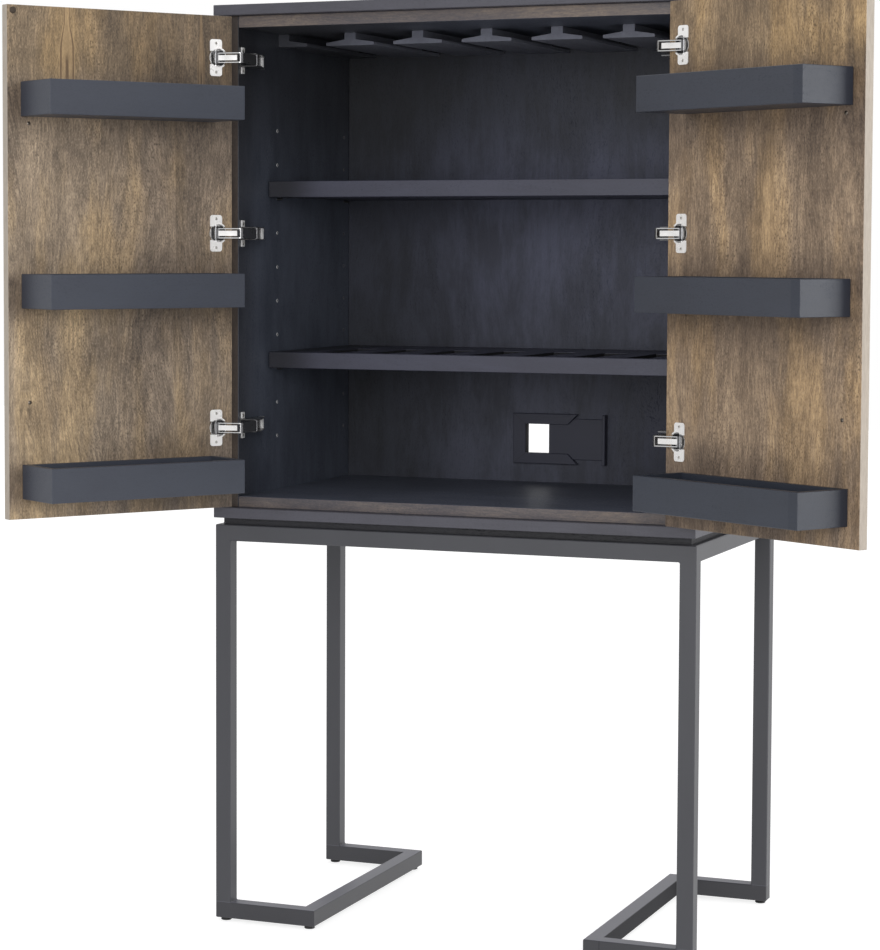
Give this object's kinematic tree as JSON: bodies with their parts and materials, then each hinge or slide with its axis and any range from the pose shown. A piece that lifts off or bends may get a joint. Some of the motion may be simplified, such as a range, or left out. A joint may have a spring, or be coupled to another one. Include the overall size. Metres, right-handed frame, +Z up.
{
  "type": "wine cabinet",
  "caption": "Tall bar cabinet on an open tube stand, its doors open on wide-angle hinges, with bottle trays on the doors, stemware rails, shelves and a cable hatch.",
  "frame": {"origin": "on the floor, under the middle of the box that the cabinet fills with its doors standing open at rest", "axes": "+X to the viewer's right along the front, +Y from the front to the back, +Z up"},
  "size_m": [1.49, 1.0048, 1.6935],
  "materials": {
    "door_oak": "brown stained oak veneer, matt lacquer",
    "case_oak": "brown stained oak veneer outside, charcoal inside",
    "charcoal_case": "charcoal stained board",
    "charcoal_tray": "charcoal stained board",
    "charcoal_interior": "charcoal stained board",
    "powder_coated_steel": "fine textured charcoal powder coat",
    "black_glide": "moulded black",
    "nickel_plate": "nickel plated",
    "dark_bronze": "dark bronze",
    "hatch_plastic": "moulded charcoal"
  },
  "bodies": {
    "cabinet": {"back_board": "charcoal_case", "back_rail": "powder_coated_steel", "bottom_board": "case_oak", "bottom_cap": "charcoal_case", "front_rail": "powder_coated_steel", "glide_left_back_inner": "black_glide", "glide_left_back_outer": "black_glide", "glide_left_front_inner": "black_glide", "glide_left_front_outer": "black_glide", "glide_right_back_inner": "black_glide", "glide_right_back_outer": "black_glide", "glide_right_front_inner": "black_glide", "glide_right_front_outer": "black_glide", "hatch_frame": "hatch_plastic", "left_half_rail": "charcoal_interior", "left_hinge_arm_lower": "nickel_plate", "left_hinge_arm_middle": "nickel_plate", "left_hinge_arm_upper": "nickel_plate", "left_leg_frame": "powder_coated_steel", "left_side": "case_oak", "lower_shelf": "charcoal_interior", "plinth": "charcoal_case", "right_half_rail": "charcoal_interior", "right_hinge_arm_lower": "nickel_plate", "right_hinge_arm_middle": "nickel_plate", "right_hinge_arm_upper": "nickel_plate", "right_leg_frame": "powder_coated_steel", "right_side": "case_oak", "stemware_rail_1": "charcoal_interior", "stemware_rail_2": "charcoal_interior", "stemware_rail_3": "charcoal_interior", "stemware_rail_4": "charcoal_interior", "stemware_rail_5": "charcoal_interior", "top_board": "case_oak", "top_cap": "charcoal_case", "upper_shelf": "charcoal_interior"},
    "left_door": {"left_door": "door_oak", "left_hinge_cup_lower": "nickel_plate", "left_hinge_cup_middle": "nickel_plate", "left_hinge_cup_upper": "nickel_plate", "left_pull": "dark_bronze", "left_tray_1": "charcoal_tray", "left_tray_2": "charcoal_tray", "left_tray_3": "charcoal_tray"},
    "right_door": {"right_door": "door_oak", "right_hinge_cup_lower": "nickel_plate", "right_hinge_cup_middle": "nickel_plate", "right_hinge_cup_upper": "nickel_plate", "right_pull": "dark_bronze", "right_tray_1": "charcoal_tray", "right_tray_2": "charcoal_tray", "right_tray_3": "charcoal_tray"},
    "left_hinge_links": {"left_hinge_link_lower": "nickel_plate", "left_hinge_link_middle": "nickel_plate", "left_hinge_link_upper": "nickel_plate"},
    "right_hinge_links": {"right_hinge_link_lower": "nickel_plate", "right_hinge_link_middle": "nickel_plate", "right_hinge_link_upper": "nickel_plate"},
    "cable_hatch": {"hatch_cover": "hatch_plastic"}
  },
  "joints": [
    {"name": "left_door_swing", "type": "hinge", "parent": "cabinet", "child": "left_door", "pos_m": [-0.50624, -0.07606, 0], "axis": [0, 0, -1], "range_deg": [-123.5, 31.5]},
    {"name": "left_link_turn", "type": "hinge", "parent": "left_door", "child": "left_hinge_links", "pos_m": [-0.49129, -0.11054, 0], "axis": [0, 0, -1], "range_deg": [-27.44, 107.57]},
    {"name": "right_door_swing", "type": "hinge", "parent": "cabinet", "child": "right_door", "pos_m": [0.37976, -0.07606, 0], "axis": [0, 0, 1], "range_deg": [-148, 7]},
    {"name": "right_link_turn", "type": "hinge", "parent": "right_door", "child": "right_hinge_links", "pos_m": [0.38045, -0.11364, 0], "axis": [0, 0, 1], "range_deg": [-6.1, 128.91]},
    {"name": "hatch_slide", "type": "slide", "parent": "cabinet", "child": "cable_hatch", "axis": [1, 0, 0], "range_m": [-0.045, 0.028]}
  ],
  "couplings": [
    {"joint": "left_link_turn", "follows": "left_door_swing", "ratio": -0.871},
    {"joint": "right_link_turn", "follows": "right_door_swing", "ratio": -0.871}
  ]
}
